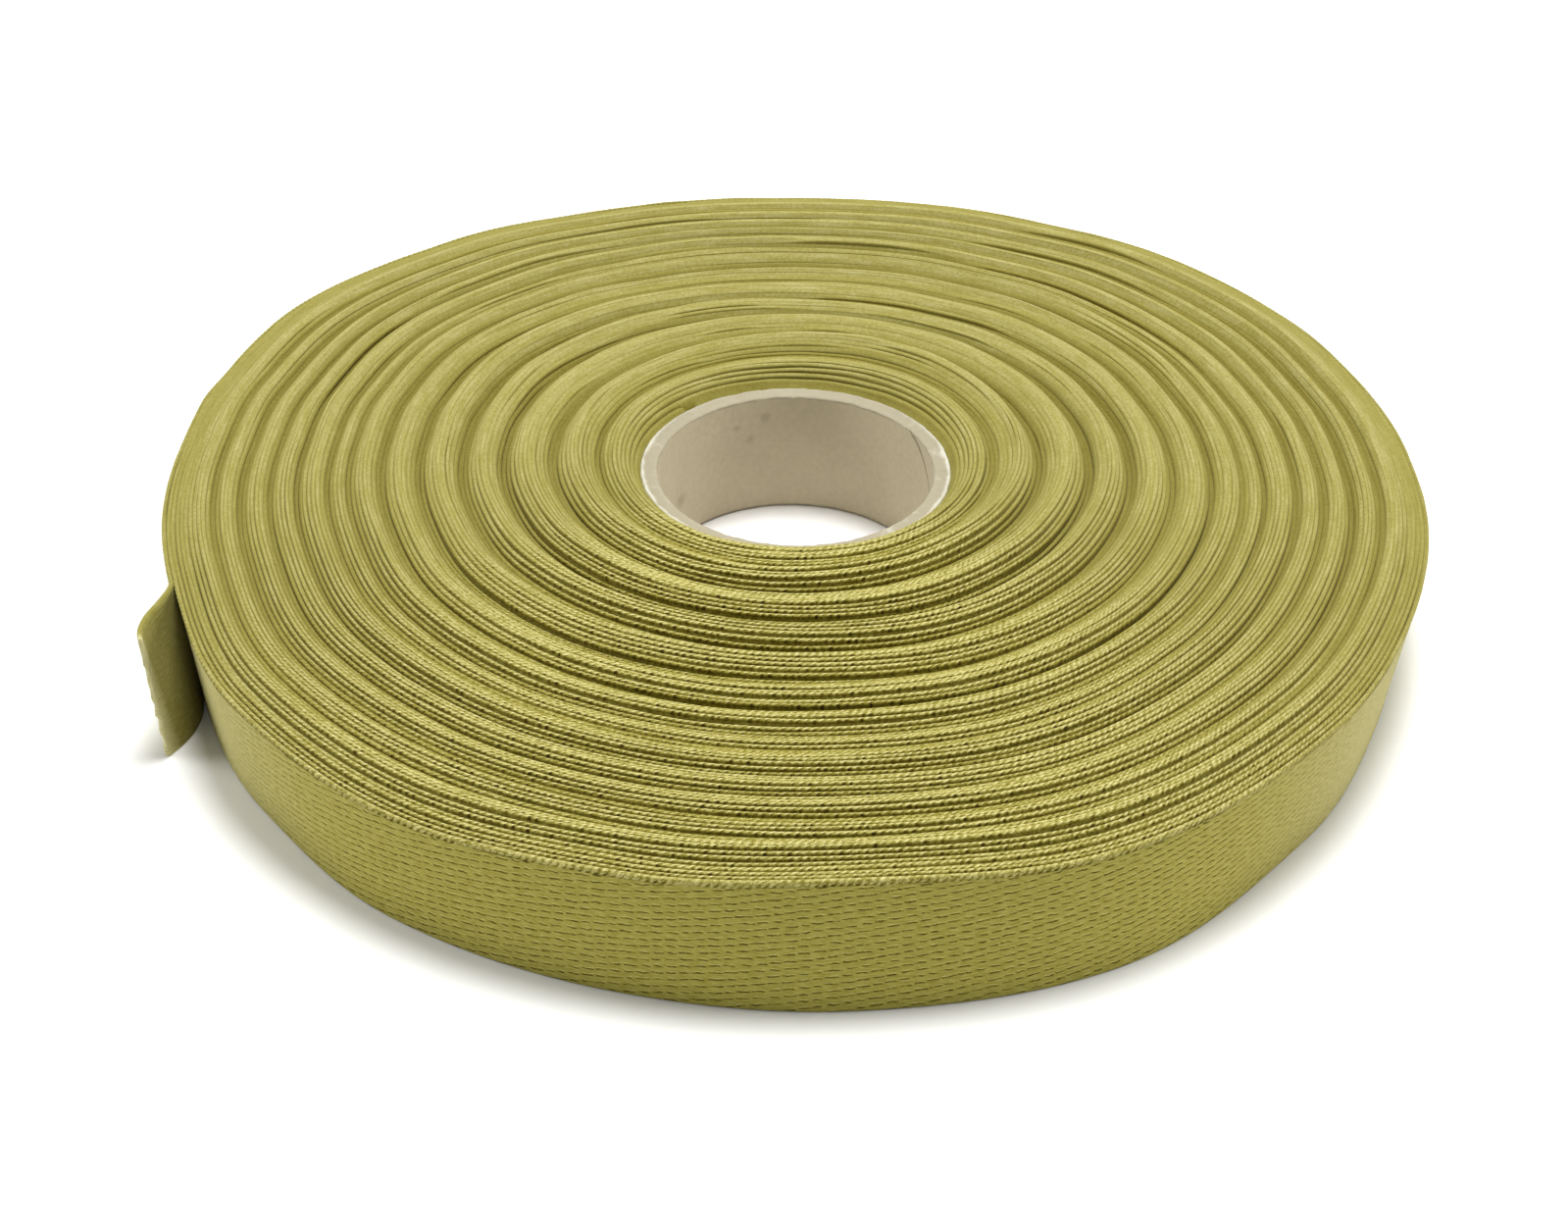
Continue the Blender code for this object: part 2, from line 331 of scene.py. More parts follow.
def addNode(tree, kind, settings=None, links=None):
    node = tree.nodes.new(kind)
    for key, value in (settings or {}).items():
        setattr(node, key, value)
    for socket, source in (links or {}).items():
        if isinstance(source, bpy.types.NodeSocket):
            tree.links.new(source, node.inputs[socket])
        else:
            node.inputs[socket].default_value = source
    return node


def calc(tree, operation, first, second=0.0, third=0.0):
    links = {0: first, 1: second, 2: third}
    return addNode(tree, "ShaderNodeMath", {"operation": operation}, links).outputs[0]


def vectorCalc(tree, operation, first, second=(0, 0, 0)):
    return addNode(tree, "ShaderNodeVectorMath", {"operation": operation}, {0: first, 1: second}).outputs


# All the factors multiplied.
def product(tree, result, *factors):
    for factor in factors:
        result = calc(tree, "MULTIPLY", result, factor)
    return result


# A value plus each source times its size.
def summed(tree, value, *terms):
    for source, size in terms:
        value = calc(tree, "MULTIPLY_ADD", source, size, value)
    return value


# Named sources with their named sizes, as the function above takes them.
def weighted(sources, sizes):
    return [(sources[key], size) for key, size in sizes.items()]


# A smooth step from toLow to toHigh.
def spread(tree, value, low, high, toLow=0.0, toHigh=1.0):
    links = {"Value": value, "From Min": low, "From Max": high, "To Min": toLow, "To Max": toHigh}
    return addNode(tree, "ShaderNodeMapRange", {"interpolation_type": "SMOOTHSTEP"}, links).outputs["Result"]


# Two such steps, one up and one down, with 1 between them.
def between(tree, value, up, down):
    return product(tree, spread(tree, value, *up), spread(tree, value, *down))


def blendColors(tree, share, first, second, mode="MIX"):
    node = addNode(tree, "ShaderNodeMix", {"data_type": "RGBA", "blend_type": mode})
    sockets = [s for s in node.inputs if s.enabled]
    for socket, source in zip(sockets, (share, first, second)):
        if isinstance(source, bpy.types.NodeSocket):
            tree.links.new(source, socket)
        else:
            socket.default_value = source
    return next(s for s in node.outputs if s.enabled)


def noiseAt(tree, vector, scale, detail=2.0, roughness=0.5):
    links = {"Vector": vector, "Scale": scale, "Detail": detail, "Roughness": roughness}
    return addNode(tree, "ShaderNodeTexNoise", None, links).outputs["Fac"]


# The same as plus or minus a half at the most.
def centredNoise(tree, vector, scale, detail=2.0, roughness=0.5):
    return calc(tree, "SUBTRACT", noiseAt(tree, vector, scale, detail, roughness), 0.5)


def combined(tree, x, y):
    return addNode(tree, "ShaderNodeCombineXYZ", None, {"X": x, "Y": y}).outputs["Vector"]


# Noise drawn out along the tape: scale is a pair, along and across.
def streaks(tree, along, across, scale, detail):
    at = combined(tree, product(tree, along, scale[0]), product(tree, across, scale[1]))
    return noiseAt(tree, at, 1.0, detail, 0.6)


def giveBump(tree, shader, height, distance):
    bump = addNode(tree, "ShaderNodeBump", None, {"Height": height, "Distance": distance})
    tree.links.new(bump.outputs["Normal"], shader.inputs["Normal"])


# UV in mm as the plain vector and as two separate numbers.
def tapeSockets(tree):
    uv = addNode(tree, "ShaderNodeUVMap", {"uv_map": "tape"}).outputs["UV"]
    parts = addNode(tree, "ShaderNodeSeparateXYZ", None, {"Vector": uv})
    return uv, parts.outputs["X"], parts.outputs["Y"]


def pointValue(tree, name):
    return addNode(tree, "ShaderNodeAttribute", {"attribute_name": name}).outputs["Fac"]


def objectCoords(tree):
    return addNode(tree, "ShaderNodeTexCoord").outputs["Object"]


cotton = {
    "stops": (
        (0.00, (0.034, 0.021, 0.001, 1)),
        (0.30, (0.148, 0.118, 0.010, 1)),
        (0.60, (0.300, 0.267, 0.066, 1)),
        (1.00, (0.680, 0.628, 0.345, 1)),
    ),
    # a painted shade tint, yellower, multiplied in on the side away from +Y
    "sideShadeTint": (1.0, 0.985, 0.74, 1),
    "stitchPitch": 1.27,
    "stitchSlant": 1.0,
    "roughness": 0.92,
    "sheen": 0.04,
}


# Cotton from 0 in a crevice to 1 on a raised thread: the darker, the more saturated.
def cottonColor(tree, brightness):
    ramp = addNode(tree, "ShaderNodeValToRGB", None, {"Fac": brightness})
    stops = ramp.color_ramp.elements
    for index, (place, color) in enumerate(cotton["stops"]):
        stop = stops[index] if index < 2 else stops.new(place)
        stop.position, stop.color = place, color
    return ramp.outputs["Color"]


# How crisp the threads stand: 1 on the side away from +Y, easing to least towards it. The cloths also paint
# light and shade by it, and the tube its pale lip. It goes by the Y part of the direction out from the roll's
# axis, -1 at one side and 1 at the other.
def crispness(tree, crispUntil, softFrom, least):
    outward = vectorCalc(tree, "SUBTRACT", objectCoords(tree), (axisX, axisY, 0))["Vector"]
    flat = vectorCalc(tree, "MULTIPLY", outward, (1, 1, 0))["Vector"]
    heading = vectorCalc(tree, "NORMALIZE", flat)["Vector"]
    sideways = addNode(tree, "ShaderNodeSeparateXYZ", None, {"Vector": heading}).outputs["Y"]
    return spread(tree, sideways, crispUntil, softFrom, 1.0, least)


# The turns' edges. Scales are of noise, a pair or four numbers is a smooth step as spread reads it, and
# what stands under adds is brightness.
edge = {
    "facing": (-0.95, -0.40, 0.06),         # crisp until, soft from, least
    "unevenScale": 0.2,                     # the strokes are unevenly spaced
    "unevenSize": 0.9,
    "faintScale": 0.45,                     # and fainter in patches
    "faint": (0.32, 0.62, 0.35, 1.0),
    "onCord": (0.46, 0.34),                 # places across the tape
    "toothFrom": (0.20, 0.36),
    "toothTo": (0.474, 0.454),
    "groove": (0.35, 1.0),                  # distance from the middle of a stroke
    "ridge": (0.65, 0.1),
    "tooth": (0.20, 0.75),
    "toothScale": 0.55,                     # the teeth are missing in patches
    "toothKept": (0.42, 0.60),
    "patchScale": 0.06,
    "streakScale": (0.12, 2.4),             # along and across
    "fibreScale": 1.5 / mm,
    "fuzz": 0.25,                           # how much the fibres show, and how much more on the crisp side
    "crispFuzz": 0.90,
    "shade": 0.90,                          # the same for the shade in the gaps
    "crispShade": 0.16,
    "leastLight": 0.12,
    "brightness": 0.43,
    # Of what adds brightness: the side term paints the side away from +Y lighter, the stroke term is a
    # painted highlight along each stroke, the groove term painted shade in its grooves, which the bump also
    # sinks, and the tooth term a painted shadow under the cord. Patches and streaks are the cloth's own tone.
    "adds": {"patch": 0.14, "streak": 0.22, "facing": 0.13, "ridge": 0.24, "groove": -0.12, "tooth": -0.66},
    "grooveHeight": -0.9,
    "fuzzHeight": 0.8,
    "bump": 0.17 * mm,
}


# The corded selvedge: slanted strokes a stitch apart, phase = length / pitch + slant * across, with a painted
# highlight along each stroke, painted shade in its grooves, a painted shadow as a dark tooth at the outer end
# of each groove, and painted shade down in the gap between two turns, more of it on the side away from +Y,
# which is also painted lighter and yellower. The strokes are fainter where that gap is shallow, and hardly
# show towards +Y. Fine fibres lie over it all.
def edgeCloth(name, strength=1.0):
    material, tree, shader = startMaterial(name, cotton["roughness"], cotton["sheen"])
    uv, along, across = tapeSockets(tree)
    uneven = product(tree, noiseAt(tree, uv, edge["unevenScale"]), edge["unevenSize"])
    phase = summed(tree, uneven, (along, 1 / cotton["stitchPitch"]), (across, cotton["stitchSlant"]))
    fromMiddle = calc(tree, "ABSOLUTE", calc(tree, "SUBTRACT", calc(tree, "FRACT", phase), 0.5))
    fromMiddle = product(tree, fromMiddle, 2.0)
    facing = crispness(tree, *edge["facing"])
    faint = spread(tree, noiseAt(tree, uv, edge["faintScale"]), *edge["faint"])
    crisp = product(tree, facing, pointValue(tree, "free"), strength, faint)
    onCord = spread(tree, calc(tree, "ABSOLUTE", across), *edge["onCord"])
    toothPlace = between(tree, across, edge["toothFrom"], edge["toothTo"])
    toothKept = spread(tree, noiseAt(tree, uv, edge["toothScale"]), *edge["toothKept"])
    sources = {
        "patch": noiseAt(tree, uv, edge["patchScale"]),
        "streak": streaks(tree, along, across, edge["streakScale"], 2.0),
        "facing": facing,
        "ridge": product(tree, spread(tree, fromMiddle, *edge["ridge"]), crisp, onCord),
        "groove": product(tree, spread(tree, fromMiddle, *edge["groove"]), crisp, onCord),
        "tooth": product(tree, spread(tree, fromMiddle, *edge["tooth"]), toothPlace, crisp, toothKept),
    }
    bright = summed(tree, edge["brightness"], *weighted(sources, edge["adds"]))
    down = calc(tree, "SUBTRACT", 1.0, pointValue(tree, "paintedLight"))
    shade = product(tree, down, summed(tree, edge["shade"], (facing, edge["crispShade"])))
    light = calc(tree, "MAXIMUM", calc(tree, "SUBTRACT", 1.0, shade), edge["leastLight"])
    fibre = noiseAt(tree, objectCoords(tree), edge["fibreScale"], 3.0, 0.75)
    fuzz = summed(tree, edge["fuzz"], (facing, edge["crispFuzz"]))
    bright = summed(tree, product(tree, bright, light), (calc(tree, "SUBTRACT", fibre, 0.5), fuzz))
    color = blendColors(tree, facing, cottonColor(tree, bright), cotton["sideShadeTint"], "MULTIPLY")
    tree.links.new(color, shader.inputs["Base Color"])
    height = product(tree, fibre, product(tree, fuzz, edge["fuzzHeight"]))
    giveBump(tree, shader, summed(tree, height, (sources["groove"], edge["grooveHeight"])), edge["bump"])
    return material


# The tape's face, with the same kinds of values as the edges. A column of dashes is wavy by two noises.
face = {
    "columnPitch": 2.25,
    "rowPitch": 1.38,
    "columnsInStair": 4.0,
    "climb": 0.04,
    "slowScale": 0.25,
    "quickScale": 0.85,
    "slowAlong": 3.0,
    "quickAlong": 1.3,
    "quickAcross": 0.7,
    "line": ((0.34, 0.45), (0.60, 0.51)),       # shares of a row, from below, that are dark or light
    "floatHighlight": ((0.56, 0.64), (0.80, 0.69)),
    "dash": ((0.04, 0.26), (0.98, 0.74)),       # share of a column that a dash fills
    "keptScale": 1.1,                           # the dashes are fainter in patches
    "kept": (0.30, 0.56, 0.25, 1.0),
    "facing": (-0.85, -0.50, 0.10),
    "streakScale": (0.55, 2.4),                 # along and across
    "fibreScale": 3.4,
    "darker": 0.26,
    "adds": {"streak": 0.40, "facing": -0.05, "fibre": 0.24, "floatHighlight": 0.13, "mark": -0.46, "cutEdge": 0.34},
    "streakHeight": 0.4,
    "bump": 0.2 * mm,
}


# Columns of short dashes along the tape, each column a quarter of a row higher than the last one:
# row = (height - climb * length in column) / rowPitch - column / 4.
def faceCloth(name, bright, contrast, shaded=(1, 1, 1, 1)):
    material, tree, shader = startMaterial(name, cotton["roughness"], cotton["sheen"])
    uv, along, across = tapeSockets(tree)
    slow = noiseAt(tree, uv, face["slowScale"])
    quick = noiseAt(tree, uv, face["quickScale"])
    warped = summed(tree, along, (quick, face["quickAlong"]), (slow, face["slowAlong"]))
    column = calc(tree, "DIVIDE", warped, face["columnPitch"])
    place = calc(tree, "FRACT", column)
    inStair = calc(tree, "FLOORED_MODULO", calc(tree, "FLOOR", column), face["columnsInStair"])
    climb = -face["climb"] * face["columnPitch"]
    lift = summed(tree, across, (place, climb), (quick, face["quickAcross"]))
    stair = product(tree, inStair, -1 / face["columnsInStair"])
    level = calc(tree, "FRACT", calc(tree, "ADD", stair, calc(tree, "DIVIDE", lift, face["rowPitch"])))
    kept = spread(tree, noiseAt(tree, uv, face["keptScale"]), *face["kept"])
    facing = crispness(tree, *face["facing"])
    shown = product(tree, between(tree, place, *face["dash"]), kept, product(tree, facing, contrast))
    sources = {
        "streak": streaks(tree, along, across, face["streakScale"], 3.0),
        "facing": facing,
        "fibre": noiseAt(tree, uv, face["fibreScale"], 3.0, 0.7),
        "floatHighlight": product(tree, between(tree, level, *face["floatHighlight"]), shown),
        "mark": product(tree, between(tree, level, *face["line"]), shown),
        "cutEdge": pointValue(tree, "cutEdge"),
    }
    # Painted light and shade: a painted highlight along each dash, and the side away from +Y a little darker
    # and multiplied by the painted shade tint passed as shaded.
    value = summed(tree, bright - face["darker"], *weighted(sources, face["adds"]))
    color = blendColors(tree, facing, cottonColor(tree, value), shaded, "MULTIPLY")
    tree.links.new(color, shader.inputs["Base Color"])
    height = product(tree, sources["streak"], face["streakHeight"])
    giveBump(tree, shader, summed(tree, height, (sources["mark"], -1.0)), face["bump"])
    return material


# The tube. Rows of its rim's section: in from the outside and below the top, then out from the bore and
# below the top.
tube = {
    "outer": 29.0,
    "inner": 25.8,
    "length": 25.5,
    "steps": 360,
    "lipRows": (
        (0.0, 0.6), (0.04, 0.3), (0.15, 0.1), (0.35, 0.0), (0.6, 0.04),
        (0.85, 0.12), (1.3, 0.16), (1.9, 0.18), (2.5, 0.20),
    ),
    "boreRows": ((0.4, 0.24), (0.18, 0.34), (0.04, 0.52), (0.0, 0.85)),
    "boreFrom": 2.4,            # below the top, and the other end over the foot
    "boreTo": 1.2,
    "waves": ((0.6, 0.5, 31), (0.4, 0.12, 33)),     # knots a degree
    "wavesFade": 8,             # degrees at either end where they are eased together
    "raggedRim": 0.09,
    "raggedTop": 0.12,
    "raggedFrom": (1.0, 0.5),   # below the top, and over how much
    "endsFrom": (0.85, 0.45),
    "lipFrom": (1.0, 0.6),      # in from the outside, and over how much
}

# Its board is grey-brown: cloudy fibres, a few smudges, and inside a seam where the paper laps over itself,
# seam = height - top + (slope + bend * (start - angle)) * (start - angle). The end grain is paler, palest
# at its outer lip; that paleness is partly the board's own and partly painted light, full except towards +Y.
board = {
    "seamSlope": 0.17,
    "seamBend": 0.0055,
    "seamStart": 35.0,
    "seamLeast": -8.0,
    "crease": ((-0.50, -0.05), (0.90, 0.10)),
    "lap": (-0.1, 0.1),
    "brightness": 0.70,
    "cloud": 0.30,
    "speck": 0.22,
    "creaseDark": -0.50,
    "smudges": ((104.6, 21.1, 1.7), (117.3, 19.5, 1.2), (111.3, 16.6, 1.5), (150.0, 9.0, 2.4)),
    "smudgeRagged": 2.0,
    "smudgeDark": -0.24,
    "ragged": 1.3,
    "grainFrom": (0.25, 0.75),
    "paleFuzz": 1.1,
    "paleWorn": 2.4,
    "paleFrom": (1.75, 2.75),
    "paleTop": (0.1, 0.6),
    "facing": (0.2, 0.8, 0.15),
    "scales": {"cloud": 55.0, "speck": 900.0, "smudge": 500.0, "fuzz": 650.0, "ragged": 260.0, "worn": 170.0},
    "dark": (0.190, 0.160, 0.105, 1),
    "light": (0.680, 0.600, 0.432, 1),
    "grain": (0.380, 0.338, 0.240, 1),
    "lip": (0.640, 0.618, 0.510, 1),
    "roughness": 0.85,
    "speckHeight": 0.25,
    "lapHeight": 0.6,
    "bump": 0.22 * mm,
}


def boardPaper():
    material, tree, shader = startMaterial("tubeBoard", board["roughness"])
    scales = board["scales"]
    coords = objectCoords(tree)
    around, upward = tapeSockets(tree)[1:]
    turned = calc(tree, "FLOORED_MODULO", calc(tree, "ADD", around, 180.0), 360.0)
    turned = calc(tree, "SUBTRACT", turned, 180.0)
    past = calc(tree, "MAXIMUM", calc(tree, "SUBTRACT", board["seamStart"], turned), board["seamLeast"])
    steep = summed(tree, board["seamSlope"], (past, board["seamBend"]))
    seam = summed(tree, calc(tree, "SUBTRACT", upward, tube["length"]), (past, steep))
    speck = noiseAt(tree, coords, scales["speck"])
    clouded = (centredNoise(tree, coords, scales["cloud"], 4.0), board["cloud"])
    specked = (calc(tree, "SUBTRACT", speck, 0.5), board["speck"])
    creased = (between(tree, seam, *board["crease"]), board["creaseDark"])
    value = summed(tree, board["brightness"], clouded, specked, creased)
    for angle, height, radius in board["smudges"]:
        aside = product(tree, calc(tree, "SUBTRACT", turned, angle), math.radians(tube["inner"]))
        spot = combined(tree, aside, calc(tree, "SUBTRACT", upward, height))
        ragged = (centredNoise(tree, coords, scales["smudge"]), board["smudgeRagged"])
        away = summed(tree, vectorCalc(tree, "LENGTH", spot)["Value"], ragged)
        value = summed(tree, value, (spread(tree, away, radius, 0.0), board["smudgeDark"]))
    base = blendColors(tree, value, board["dark"], board["light"])
    ends = pointValue(tree, "ends")
    ragged = summed(tree, ends, (centredNoise(tree, coords, scales["ragged"], 3.0), board["ragged"]))
    base = blendColors(tree, spread(tree, ragged, *board["grainFrom"]), base, board["grain"])
    fuzz = noiseAt(tree, coords, scales["fuzz"], 3.0, 0.6)
    worn = noiseAt(tree, coords, scales["worn"], 3.0, 0.6)
    pale = summed(tree, pointValue(tree, "lip"), (fuzz, board["paleFuzz"]), (worn, board["paleWorn"]))
    pale = product(tree, spread(tree, pale, *board["paleFrom"]), spread(tree, ends, *board["paleTop"]))
    # Painted light: the pale lip shows fully except towards +Y, where it fades.
    pale = product(tree, pale, crispness(tree, *board["facing"]))
    tree.links.new(blendColors(tree, pale, base, board["lip"]), shader.inputs["Base Color"])
    lapped = product(tree, spread(tree, seam, *board["lap"]), board["lapHeight"])
    giveBump(tree, shader, summed(tree, lapped, (speck, board["speckHeight"]), (ends, fuzz)), board["bump"])
    return material


edgeMaterial = edgeCloth("cottonEdge")
cordMaterial = edgeCloth("cottonCord", 0.5)
# Painted shade: the outer face is tinted darker on the side away from +Y.
faceMaterial = faceCloth("cottonFace", 0.68, 1.0, (0.97, 0.955, 0.52, 1))
# A darker, lower-contrast copy of the face cloth for the loose end: painted shade.
shadedFaceMaterial = faceCloth("cottonShadedFace", 0.53, 0.45)
boardMaterial = boardPaper()
print("materials made")

# Section of a turn's upper edge: place across the tape in thicknesses, how far it has fallen from the crest
# in mm, how much painted light it keeps (less is painted shade, darkest down in the gaps), and what share it
# has of the turn's moves to either side. The first and last rows lie in the gaps to the neighbours, and the
# last but one on the outer face where that stands free. A drop of fullDrop or more gives all of the fall.
bead = {
    "across": np.array([-0.50, -0.47, -0.38, -0.20, 0.0, 0.20, 0.37, 0.45, 0.485, 0.50]),
    "fall": np.array([0.0, 0.30, 0.20, 0.05, 0.0, 0.05, 0.20, 0.42, 0.0, 0.0]),
    "paintedLight": np.array([0.45, 0.80, 0.95, 1.0, 1.0, 0.98, 0.76, 0.52, 0.78, 0.0]),
    "moves": np.array([0, 0.7, 1, 1, 1, 1, 1, 0.7, 0.2, 0]),
    "fullDrop": 0.6,
    "leastFall": 0.05,
    "innerDrop": 0.35,      # mm from the crest to the edge beside the tube
    "outerDrop": 0.3,       # mm from it to the outermost turn's cord
    "startDrop": 0.2,       # mm that the tape's start lies lower still
    "startOverlap": 3,      # steps that the edge beside the tube runs on past a full turn
    "startPaintedLight": 0.85,
    "shoulder": 0.22,       # height of the last row but one, as a share of the way up from the gap
    "levelled": 0.94,       # share of its form, and of its shade, that goes where turns are pressed together
    "lit": 0.92,
    # Painted shade and light: moreShade darkens rows that drop little, furrowShade darkens furrows, and
    # crestLight is a painted highlight on crests.
    "moreShade": 0.1,
    "furrowShade": (0.18, 0.16),    # shade down in a furrow, and more of it on the calm side
    "furrowOver": 0.9,
    "crestLight": 0.06,
    "crestOver": 0.7,
    "freeOver": 0.40,       # drop that leaves the strokes all their strength, and the least strength
    "leastFree": 0.65,
}

press = {
    "from": 33,             # distance from the axis, in mm, and over how much it grows
    "over": 8,
    "least": 0.3,
    "parted": (1, 14, 17),  # the wave that parts the turns, from partedFrom of it on
    "partedFrom": 0.46,
    "partedOver": 0.3,
    "partedShare": 0.75,
}


# How far a turn is pressed into one surface with its neighbours, from 0 to 1: on the calm side, away from
# the tube, and less in short stretches here and there.
def pressed(turn):
    inside = onTape(turn)
    parted = np.clip((waveAt(inside, press["parted"]) - press["partedFrom"]) / press["partedOver"], 0, 1)
    away = np.clip((turnRadius(inside) - press["from"]) / press["over"], press["least"], 1)
    return calm(roll["firstAngle"] + 360 * turn) * away * (1 - press["partedShare"] * parted)


gap = {
    "least": 0.07,          # depth in mm
    "most": 0.66,
    "mean": 0.52,           # slack between two turns, and its waves
    "waves": ((0.50, 2.7, 14), (0.22, 0.31, 15), (0.16, 43, 16)),
    "spare": 0.16,
    "pressedOut": 0.46,
    "pressedShare": 0.55,
    "risingFrom": 0.1,      # slope of the profile
    "risingOver": 0.6,
    "rising": (0.35, 0.45),     # share that goes there, and more of it where turns are pressed together
    "furrowOver": 0.7,
    "furrow": (0.15, 0.55),
    "lastTurns": 2,         # the last gaps inside the rim are open
    "lastMean": 0.85,
    "lastWave": (0.25, 60, 19),
    "lastPressed": 0.6,
}


# Depth of the gap outside a turn: it grows with the square of the slack, which is small where two turns are
# pressed together, most of all on a rise and in a furrow, and large in the last gaps inside the rim.
def gapOutside(turn):
    inside = onTape(turn)
    radius = turnRadius(inside, 1)
    slack = gap["mean"]
    for wave in gap["waves"]:
        slack = slack + waveAt(inside, wave)
    smooth = pressed(turn)
    slack = np.clip(slack + gap["spare"] - gap["pressedOut"] * smooth, 0, 1)
    slack = slack * (1 - gap["pressedShare"] * smooth)
    slope = np.interp(radius, profileSteps, profileSlope)
    rising = np.clip((slope - gap["risingFrom"]) / gap["risingOver"], 0, 1)
    slack *= 1 - (gap["rising"][0] + gap["rising"][1] * smooth) * rising
    sunk = np.clip(furrowDepth(radius) / gap["furrowOver"], 0, 1)
    slack *= 1 - (gap["furrow"][0] + gap["furrow"][1] * smooth) * sunk
    beside = gap["lastMean"] + waveAt(inside, gap["lastWave"])
    inLast = inside > roll["turns"] - gap["lastTurns"]
    slack = np.where(inLast, beside * (1 - gap["lastPressed"] * smooth), slack)
    return gap["least"] + (gap["most"] - gap["least"]) * slack * slack


# The upper edges of the turns from one to another: the bead is carried along the spiral, and each of its
# gap rows lies the gap's depth below the lower one of the two turns that meet there. Beside the tube the
# first row leans over it.
def windingTop(name, firstTurn, lastTurn, stepsPerTurn):
    count = int(round((lastTurn - firstTurn) * stepsPerTurn)) + 1
    turn = np.linspace(firstTurn, lastTurn, count)
    angle, radius, lift = tapeAt(turn)
    bySide = turn < 1 + bead["startOverlap"] / stepsPerTurn
    lowerInside = np.where(turn < 1, lift - bead["innerDrop"], np.minimum(lift, tapeAt(turn - 1)[2]))
    innerLow = lowerInside - gapOutside(turn - 1)
    innerLow = np.where(bySide, np.minimum(innerLow, roll["tuck"]), innerLow)
    outermost = turn > roll["turns"] - 1
    lowerOutside = np.where(outermost, lift - bead["outerDrop"], np.minimum(lift, tapeAt(turn + 1)[2]))
    outerLow = lowerOutside - gapOutside(turn)
    sideways = waveAt(onTape(turn), jitter["across"])

    across, moves, openness = (bead[key][:, None] for key in ("across", "moves", "paintedLight"))
    drop = np.where(across < 0, lift - innerLow, lift - outerLow)
    weight = np.clip(drop / bead["fullDrop"], bead["leastFall"], 1)
    height = lift - bead["fall"][:, None] * weight
    height[0], height[-1] = innerLow, outerLow
    height[-2] = outerLow + bead["shoulder"] * (height[-3] - outerLow)
    smooth = pressed(turn)
    level = innerLow + (outerLow - innerLow) * (across + 0.5)
    height = height + (level - height) * bead["levelled"] * smooth
    nominal = radius + across * roll["turnPitch"] + sideways * moves
    nominal[0] = np.where(bySide, roll["coreRadius"] - roll["innerLean"], nominal[0])
    height[:, turn == 0] = (innerLow - bead["startDrop"])[turn == 0]
    points = placed(radiusOnRoll(nominal, angle, 1.0), angle, roll["tapeWidth"] + height)

    # Painted light and shade: rows that drop into a gap and turns in a furrow are painted darker, less so
    # where turns are pressed together, and crests on the calm side get a painted highlight.
    paintedLight = 1 - (1 - openness) * np.clip(bead["moreShade"] + weight, 0, 1)
    paintedLight = 1 - (1 - paintedLight) * (1 - bead["lit"] * smooth)
    furrowShade = bead["furrowShade"][0] + bead["furrowShade"][1] * calm(angle)
    paintedLight = paintedLight * (1 - furrowShade * np.clip(furrowDepth(nominal) / bead["furrowOver"], 0, 1))
    onCrest = np.clip(crestHeight(nominal) / bead["crestOver"], 0, 1)
    paintedLight = paintedLight + bead["crestLight"] * calm(angle) * onCrest
    paintedLight[0] = np.where(turn < 1, bead["startPaintedLight"], paintedLight[0])
    free = np.clip((lift - outerLow) / bead["freeOver"], bead["leastFree"], 1) + 0 * height
    values = {"paintedLight": paintedLight, "free": free}
    return gridMesh(name, edgeMaterial, points, uvGrid(lengthAt(turn), across), values, flip=True)


spans = (
    ("windingInner", 0.0, 36.0, 170),
    ("windingMiddle", 36.0, 72.0, 240),
    ("windingOuter", 72.0, roll["turns"], 290),
)
windings = [windingTop(*span) for span in spans]
print("upper turns wound:", ", ".join(f"{p.name} {len(p.data.polygons) * 2}" for p in windings))


# The lower edges, coarser: crest and gap of each turn, one tape width below the upper ones, and level
# where the outermost turns stand on the floor.
under = {
    "stepsPerTurn": 180,
    "gapDepth": 0.5,
    "footTurns": 2.6,       # turns that stand on the floor, and turns over which the next ones lift off it
    "across": np.array([-0.5, -0.25, 0.25, 0.5]),
    "paintedLight": np.array([0.0, 1.0, 1.0, 0.0]),
    "free": 0.6,
}


def windingUnder():
    count = int(round(roll["turns"] * under["stepsPerTurn"])) + 1
    turn = np.linspace(0, roll["turns"], count)
    across = under["across"][:, None]
    angle = roll["firstAngle"] + 360 * turn
    centre = turnRadius(turn)
    nominal = centre + across * roll["turnPitch"]
    footed = np.clip((roll["turns"] - turn) / under["footTurns"] - 1, 0, 1)
    height = turnHeight(centre, angle) + waveAt(turn, jitter["height"])
    height = np.maximum(height * footed, 0.0) + 0 * nominal
    height[0] += under["gapDepth"]
    height[-1] += np.where(turn > roll["turns"] - 1, 0.0, under["gapDepth"])
    points = placed(radiusOnRoll(nominal, angle, 0.0), angle, height)
    # Painted shade: none of the light in the gap rows, all of it on the crest rows.
    values = {"paintedLight": under["paintedLight"][:, None] + 0 * height, "free": under["free"] + 0 * height}
    return gridMesh("windingUnder", edgeMaterial, points, uvGrid(lengthAt(turn), across), values)


underPiece = windingUnder()

